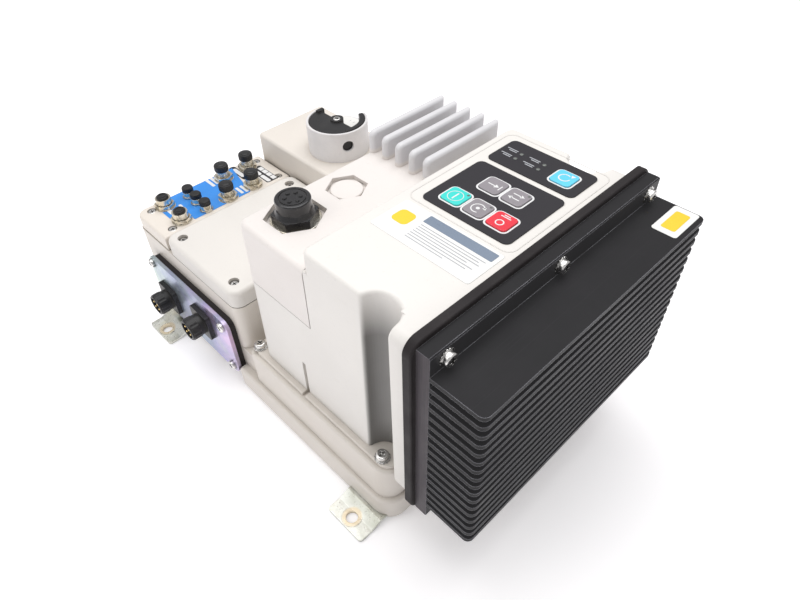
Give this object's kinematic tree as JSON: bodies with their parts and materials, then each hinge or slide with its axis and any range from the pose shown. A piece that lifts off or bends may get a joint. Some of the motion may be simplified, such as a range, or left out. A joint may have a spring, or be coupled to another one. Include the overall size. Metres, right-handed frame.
{
  "type": "variable frequency drive",
  "caption": "Sealed motor drive on a cast base with a finned rear heat sink, membrane keypad, rotary disconnect, signal sockets and bolt-down feet.",
  "frame": {"origin": "centre of the foot hole pattern on the mounting face", "axes": "+Z away from the mounting face, +X towards the heat sink, +Y away from the conduit entry side"},
  "size_m": [0.3967, 0.2682, 0.214],
  "materials": {
    "black_plastic": "moulded",
    "board_green": "solder resist",
    "can_sleeve": "shrink sleeve",
    "cast_paint": "fine satin enamel on die casting",
    "contact_gold": "gold flashed",
    "cover_paint": "fine satin enamel",
    "dial_white": "moulded",
    "dome_steel": "pressed",
    "guard_plastic": "moulded",
    "head_paint": "fine satin enamel",
    "internal_grey": "moulded",
    "key_blue": "moulded",
    "key_grey": "moulded",
    "key_red": "moulded",
    "key_teal": "moulded",
    "label_blue": "printed film",
    "lead_black": "insulation",
    "led_lens": "clear lens",
    "nickel": "nickel plated",
    "panel_black": "screen printed film",
    "screw_steel": "bright zinc plated",
    "seal_rubber": "matt",
    "shaft_steel": "turned",
    "sink_black": "black anodised",
    "sticker_white": "printed film",
    "zinc": "zinc plated and passivated"
  },
  "bodies": {
    "drive": {"base_housing": "cast_paint", "mounting_feet": "zinc", "foot_screws": "screw_steel", "terminal_lid": "cast_paint", "terminal_lid_gasket": "seal_rubber", "terminal_lid_screws": "screw_steel", "io_cover": "cast_paint", "io_cover_gasket": "seal_rubber", "io_cover_screws": "screw_steel", "io_label": "label_blue", "sensor_sockets": "nickel", "socket_nuts": "nickel", "socket_caps": "black_plastic", "service_sockets": "nickel", "service_socket_caps": "black_plastic", "gland_plate": "zinc", "gland_gasket": "seal_rubber", "gland_screws": "screw_steel", "power_connectors": "black_plastic", "power_connector_pins": "contact_gold", "disconnect_guard": "guard_plastic", "shaft_seal": "seal_rubber", "disconnect_switch": "internal_grey", "terminal_block": "internal_grey", "io_board": "board_green", "base_socket": "internal_grey", "module_tray": "cast_paint", "module_cover": "cover_paint", "connector_head": "head_paint", "motor_connector_flange": "nickel", "motor_connector": "black_plastic", "motor_connector_cap": "black_plastic", "motor_leads": "lead_black", "blank_plug": "head_paint", "keypad_overlay_lower": "panel_black", "keypad_overlay_upper": "panel_black", "keypad_domes": "dome_steel", "keypad_board": "board_green", "status_leds": "led_lens", "ribbon_cable": "lead_black", "control_board": "board_green", "board_standoffs": "screw_steel", "power_board": "board_green", "bus_capacitors": "can_sleeve", "power_module": "internal_grey", "heat_sink": "sink_black", "heat_sink_gasket": "seal_rubber", "heat_sink_screws": "screw_steel", "module_screws": "screw_steel", "surface_labels": "sticker_white"},
    "knob": {"disconnect_knob": "black_plastic", "knob_screw": "screw_steel", "disconnect_shaft": "shaft_steel", "disconnect_dial": "dial_white"},
    "hand_key": {"hand_button": "key_teal"},
    "auto_key": {"auto_button": "key_grey"},
    "off_key": {"off_button": "key_red"},
    "jog_key": {"jog_button": "key_grey"},
    "direction_key": {"direction_button": "key_grey"},
    "reset_key": {"reset_button": "key_blue"}
  },
  "joints": [
    {"name": "disconnect_turn", "type": "hinge", "parent": "drive", "child": "knob", "pos_m": [-0.0924, 0.0684, 0.132], "axis": [0, 0, 1], "range_deg": [0, 90]},
    {"name": "hand_press", "type": "slide", "parent": "drive", "child": "hand_key", "axis": [0, 0, -1], "range_m": [0, 0.0006]},
    {"name": "auto_press", "type": "slide", "parent": "drive", "child": "auto_key", "axis": [0, 0, -1], "range_m": [0, 0.0006]},
    {"name": "off_press", "type": "slide", "parent": "drive", "child": "off_key", "axis": [0, 0, -1], "range_m": [0, 0.0006]},
    {"name": "jog_press", "type": "slide", "parent": "drive", "child": "jog_key", "axis": [0, 0, -1], "range_m": [0, 0.0006]},
    {"name": "direction_press", "type": "slide", "parent": "drive", "child": "direction_key", "axis": [0, 0, -1], "range_m": [0, 0.0006]},
    {"name": "reset_press", "type": "slide", "parent": "drive", "child": "reset_key", "axis": [0, 0, -1], "range_m": [0, 0.0006]}
  ]
}
